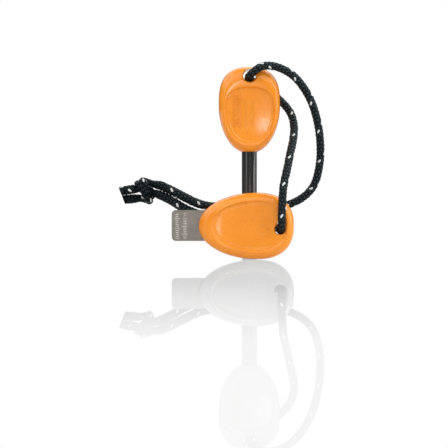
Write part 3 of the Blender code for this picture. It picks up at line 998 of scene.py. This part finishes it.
def push_apart(points, first, second):
    """Moves pairs of points that touch until they are a cord's contact distance apart."""
    gap = points[first] - points[second]
    length = np.linalg.norm(gap, axis=1)
    touch = length < 2 * KNOT_CONTACT
    first, second, gap, length = first[touch], second[touch], gap[touch], length[touch]
    push = (2 * KNOT_CONTACT - length)[:, None] * gap / length[:, None] * 0.5
    moves, counts = np.zeros_like(points), np.zeros(len(points))
    np.add.at(moves, first, push)
    np.add.at(moves, second, -push)
    np.add.at(counts, first, 1)
    np.add.at(counts, second, 1)
    points += moves / np.maximum(counts, 1)[:, None]


def cord_line():
    """The whole cord's centre line at even steps, from the upper cut end to the lower one."""
    route = np.array([point for section in ROUTE for point in section])
    upper, lower = tie_knot((route[0], route[-1]), (UPPER_TIP, LOWER_TIP))
    middle = spline(route)
    line = np.concatenate([upper[::-1][:-4], even_line(middle, step=0.5)[6:-6], lower[4:]])
    line = even_line(line, step=0.25)
    rounds, share = 60, 0.4
    for _ in range(rounds):
        line[1:-1] += share * ((line[:-2] + line[2:]) / 2 - line[1:-1])
    return even_line(line, step=CORD_STEP)


def cord_frames(line):
    """Direction and two side vectors at each point of the line, without twist."""
    along = unit_directions(line)
    first = carried_side(along, np.array([0.0, 1.0, 0.0]))
    return along, first, np.cross(along, first)


def braid_height(around, along):
    """Height of the yarn on top, 0 to 1. around is in turns and along in pitches, and both may be arrays.

    Each yarn passes over two and under two opposite ones. a counts the rising yarns and b the falling ones.
    """
    a = BRAID_YARNS * (around - along)
    b = BRAID_YARNS * (around + along)
    i, j = np.floor(a), np.floor(b)
    rising = np.mod(i - j, 4) < 2
    across = np.where(rising, a - i, b - j) * 2.0 - 1.0
    run = np.where(rising, b - i, a - j - 3)
    run = np.mod(run + 2, 4) - 2
    over = np.maximum(np.cos(run * math.pi / 2), 0.0) ** 0.5
    return over * np.sqrt(np.maximum(1.02 - across**2, 0.0))


def cord_radius(line):
    """Tight in the knot, loose and thicker in the tails, and drawn out round the loop."""
    x = line[:, 0]
    tail = smoothstep((-16.0 - x) / 12.0)
    knot = smoothstep((6.5 - np.abs(x - KNOT_MIDDLE[0])) / 3.0)
    return LOOP_RADIUS + (TAIL_RADIUS - LOOP_RADIUS) * tail + (KNOT_RADIUS - TAIL_RADIUS) * knot


def braid_rings(line, frames, start, end):
    """Rings round a stretch of the cord, with yarns as relief, and how many pitches along each one is."""
    _, first, second = (f[start:end] for f in frames)
    turn = np.arange(CORD_SIDES) / CORD_SIDES
    pitch = np.arange(start, end) * CORD_STEP / BRAID_PITCH
    relief = braid_height(turn[None, :], pitch[:, None])
    radius = cord_radius(line[start:end])[:, None] + BRAID_RELIEF * (relief - BRAID_MEAN)
    across = np.cos(math.tau * turn)[None, :, None] * first[:, None, :]
    up = np.sin(math.tau * turn)[None, :, None] * second[:, None, :]
    return line[start:end, None, :] + radius[:, :, None] * (across + up), pitch


def braid_uvs(levels):
    """(u, v) at the corners of a tube's faces: turns round the cord, and pitches along it at each ring."""
    rim = [i / CORD_SIDES for i in range(CORD_SIDES)]
    uvs = []
    for low, high in zip(levels[:-1], levels[1:]):
        for i, left in enumerate(rim):
            right = (i + 1) / CORD_SIDES
            uvs += [(left, low), (right, low), (right, high), (left, high)]
    uvs += [(u, levels[0]) for u in rim][::-1]
    uvs += [(u, levels[-1]) for u in rim]
    return uvs


def cord_tube(name, line, frames, start, end, material):
    """A stretch of the braided cord as a closed tube, sliced by the cutting plane at the cord's own ends."""
    rings, pitch = braid_rings(line, frames, start, end)
    along = frames[0][start:end]
    cut_start, cut_end = start == 0, end == len(line)
    inside = ((rings - CUT_POINT) @ CUT_NORMAL).min(axis=1) > CUT_MARGIN
    order = np.arange(len(rings))
    keep = np.ones(len(rings), bool)
    if cut_start:
        keep &= inside | (order > CUT_REACH)
    if cut_end:
        keep &= inside | (order[::-1] > CUT_REACH)
    rings, pitch, along = rings[keep], pitch[keep], along[keep]
    head = cut_rings(rings[0], -along[0])[::-1] if cut_start else []
    foot = cut_rings(rings[-1], along[-1]) if cut_end else []
    levels = np.concatenate([np.full(len(head), pitch[0]), pitch, np.full(len(foot), pitch[-1])])
    made = loft(name, head + list(rings) + foot, material, uvs=braid_uvs(levels))
    return smooth(made, 60.0)


def to_cut(place, direction):
    """How far it is from a place to the cutting plane, along a direction."""
    return ((CUT_POINT - place) @ CUT_NORMAL) / (direction @ CUT_NORMAL)


def cut_rings(ring, outwards):
    """Rings that carry a tube to the cutting plane and a little way down inside its sheath."""
    face = ring + to_cut(ring, outwards)[:, None] * outwards
    centre = face.mean(axis=0)
    rim = centre + (face - centre) * 0.9 + outwards * 0.04
    inner = centre + (face - centre) * 0.64
    well = inner - outwards * 0.5
    return [face, rim, inner, well]


def core_yarns(name, node, ring_centre, inwards, material):
    """The ends of the yarns inside the sheath: six in a ring and one in its middle."""
    side = np.array(Vector(inwards).orthogonal().normalized())
    other = np.cross(inwards, side)
    ring, sides = 6, 10
    points, faces = [], []
    for k in range(ring + 1):
        turn = math.tau * k / ring
        offset = (math.cos(turn) * side + math.sin(turn) * other) * CORE_RING_RADIUS
        centre = ring_centre + (offset if k < ring else 0.0)
        depth = 0.08 * (k % 3)
        profile = [(0.05 + depth, 0.55), (0.16 + depth, 0.9), (0.4, 1.0), (3.0, 1.0)]
        base = len(points)
        for at, width in profile:
            points += list(circle(centre + inwards * at, CORE_YARN_RADIUS * width, side, other, sides))
        last = len(points) - sides
        faces += [tuple(base + v for v in face) for face in loft_faces(len(profile), sides)]
        faces.append(tuple(base + v for v in range(sides))[::-1])
        faces.append(tuple(last + v for v in range(sides)))
    made = smooth(mesh_object(name, points, faces, material), 50.0)
    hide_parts(node)
    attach(made, "cord_tail")


def nearest(line, place):
    """The number of the line's point that is nearest to a place."""
    return int(np.argmin(np.linalg.norm(line - place, axis=1)))


def cord(braid, core):
    """One cord in three meshes that meet end to end behind the striker."""
    line = cord_line()
    frames = cord_frames(line)
    upper, lower = nearest(line, UPPER_SPLIT), nearest(line, LOWER_SPLIT)
    loop = cord_tube("cord_loop_braid", line, frames, upper, lower + 1, braid)
    tail_a = cord_tube("cord_upper_end_braid", line, frames, 0, upper + 1, braid)
    tail_b = cord_tube("cord_lower_end_braid", line, frames, lower, len(line), braid)
    hanging = ("cord_bight", "cord_outer_run", "cord_inner_run", "cord_outer_crossing", "cord_eye_pass")
    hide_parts(*hanging)
    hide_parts("cord_tail_upper", "cord_end_upper", "cord_knot")
    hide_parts("cord_tail_lower", "cord_end_lower", "cord_knot")
    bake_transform(loop)
    for piece in (tail_a, tail_b):
        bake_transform(piece)
    for name, index, sign in (("upper", 0, 1.0), ("lower", -1, -1.0)):
        inwards = frames[0][index] * sign
        centre = line[index] + to_cut(line[index], inwards) * inwards
        core_yarns(f"core_yarns_{name}", f"cord_core_{name}", centre, inwards, core)


# ---------------------------- studio


def floor():
    """A white studio floor that glows, with a faint mirror image that fades towards the viewer."""
    n = look("studio_floor")
    glow = n.node("ShaderNodeEmission")
    fill = n.fade(n.light_path("Is Glossy Ray"), 0.0, 1.0, FLOOR_FILL, FLOOR_SHINE)
    n.feed(glow.inputs["Strength"], n.math("MAXIMUM", n.light_path("Is Camera Ray"), fill))
    mirror = n.node("ShaderNodeBsdfGlossy")
    n.feed(mirror.inputs["Color"], (1.0, 1.0, 1.0))
    n.feed(mirror.inputs["Roughness"], 0.0)
    mixed = n.node("ShaderNodeMixShader")
    n.feed(mixed.inputs[0], n.fade(n.split(n.place())[1], *MIRROR_FADE))
    n.feed(mixed.inputs[1], glow.outputs[0])
    n.feed(mixed.inputs[2], mirror.outputs[0])
    n.feed(n.tree.nodes["Material Output"].inputs["Surface"], mixed.outputs[0])
    signs = ((-1, -1), (1, -1), (1, 1), (-1, 1))
    corners = [(x * FLOOR_REACH, y * FLOOR_REACH, FLOOR_TOP) for x, y in signs]
    mesh_object("floor", corners, [(0, 1, 2, 3)], n.owner)


def world():
    """A soft studio, darker behind the object. The camera and the floor's mirror see plain white."""
    made = bpy.data.worlds.new("studio")
    bpy.context.scene.world = made
    n = Nodes(made)
    x, y, z = n.split(n.node("ShaderNodeTexCoord").outputs["Generated"])
    azimuth = n.math("DEGREES", n.math("ARCTAN2", x, n.times(y, -1.0)))
    elevation = n.math("DEGREES", n.math("ARCSINE", z))
    light = n.fade(n.math("ABSOLUTE", azimuth), 115.0, 150.0, ROOM_LIGHT, ROOM_LIGHT * BEHIND_SHARE)
    for across, up, half_width, half_height, soft, strength in PANELS:
        wide = window(n, azimuth, across, half_width, soft)
        tall = window(n, elevation, up, half_height, soft)
        light = n.plus(light, n.times(n.times(wide, tall), strength))
    plain = n.math("MAXIMUM", n.light_path("Is Camera Ray"), n.light_path("Is Singular Ray"))
    rest = n.times(n.minus(1.0, plain), light)
    back = n.tree.nodes["Background"]
    n.feed(back.inputs["Color"], (1.0, 1.0, 1.0))
    n.feed(back.inputs["Strength"], n.plus(plain, rest))


def window(n, angle, middle, half, soft):
    """1 within half of the middle, falling to 0 over the soft edge."""
    away = n.math("ABSOLUTE", n.minus(angle, middle))
    return n.fade(away, half + soft, half)


def softbox(name, place, target, width, height):
    """A rectangular studio light at a place, turned to a target."""
    light = bpy.data.lights.new(name, "AREA")
    light.shape = "RECTANGLE"
    light.size, light.size_y = width * MM, height * MM
    light.energy = SOFTBOX_GLOW * math.pi * width * height * MM**2
    made = bpy.data.objects.new(name, light)
    bpy.context.scene.collection.objects.link(made)
    made.location = Vector(place) * MM
    aim = Vector(target) - Vector(place)
    made.rotation_euler = aim.to_track_quat("-Z", "Y").to_euler()


def camera():
    """A long lens, level with the object and a little above the floor."""
    focal, sensor, width_mm = 120.0, 36.0, 224.0
    distance = focal * width_mm / sensor
    target = Vector((-12.65, 0.0, 17.25))
    tilt = math.radians(1.0)
    data = bpy.data.cameras.new("camera")
    data.lens, data.sensor_width = focal, sensor
    data.clip_start, data.clip_end = 10 * MM, 20000 * MM
    made = bpy.data.objects.new("camera", data)
    bpy.context.scene.collection.objects.link(made)
    back = Vector((0.0, -math.cos(tilt), math.sin(tilt)))
    made.location = (target + back * distance) * MM
    made.rotation_euler = (-back).to_track_quat("-Z", "Y").to_euler()
    bpy.context.scene.camera = made


def build():
    """Every piece of the fire starter, and the studio round it."""
    orange = orange_plastic()
    rod_grip(orange)
    striker_grip(orange)
    rod(ferrocerium())
    blade(blade_steel())
    glue = frame["nodes"]["rod_adhesive"]
    glue.data.materials.clear()
    glue.data.materials.append(cured_glue())
    cord(braided_nylon(), core_yarn())
    floor()
    world()
    left, right = (-56.0, -690.0, 162.0), (123.0, -690.0, 13.0)
    softbox("softbox_left", left, target=(7.0, 0.0, 66.0), width=90.0, height=90.0)
    softbox("softbox_right", right, target=(-16.0, -17.0, 15.0), width=90.0, height=26.0)
    camera()
    bpy.context.scene.view_settings.view_transform = "Standard"


build()
